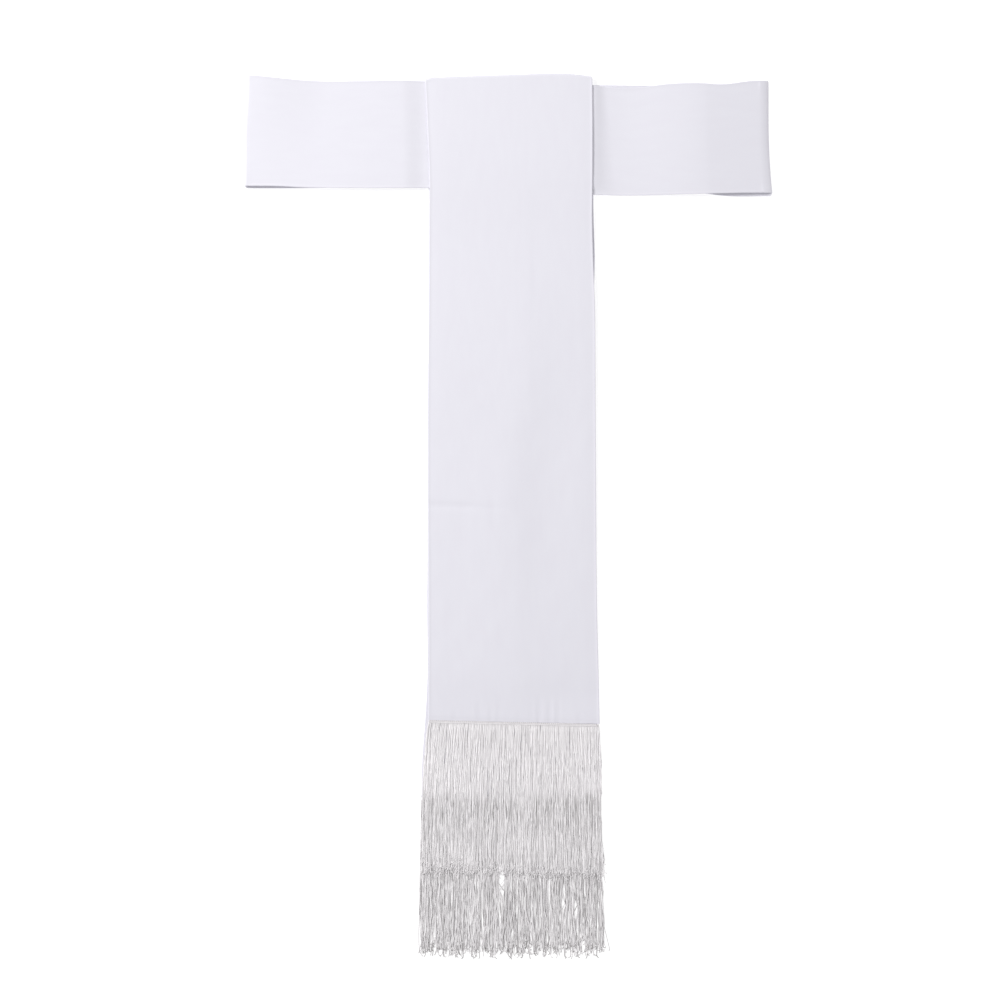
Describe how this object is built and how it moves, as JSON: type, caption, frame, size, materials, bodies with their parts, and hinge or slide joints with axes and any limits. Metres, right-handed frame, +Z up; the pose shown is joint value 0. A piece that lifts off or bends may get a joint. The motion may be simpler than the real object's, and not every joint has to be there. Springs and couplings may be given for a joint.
{
  "type": "band cincture",
  "caption": "Band cincture laid flat: a faced waist band wound into a loop, and a strip folded over it as a shorter front fall and a longer back fall, each hemmed with fringe.",
  "frame": {"origin": "on the surface that the garment lies on, under the middle of its whole length and width", "axes": "+X along the band towards the picture's right, +Y along the falls from their fringes towards the band, +Z up from the surface"},
  "size_m": [0.4998, 0.837, 0.0117],
  "materials": {
    "band_cloth": "cool white fine twill cloth with a faint satin sheen, pressed smooth",
    "falls_cloth": "the same cool white fine twill cloth, a little softer",
    "fringe_yarn": "twisted off-white rayon yarn with a silky sheen"
  },
  "bodies": {
    "root": {"waist_band": "band_cloth", "falls": "falls_cloth", "fringe_front": "fringe_yarn", "fringe_back": "fringe_yarn"}
  },
  "joints": []
}
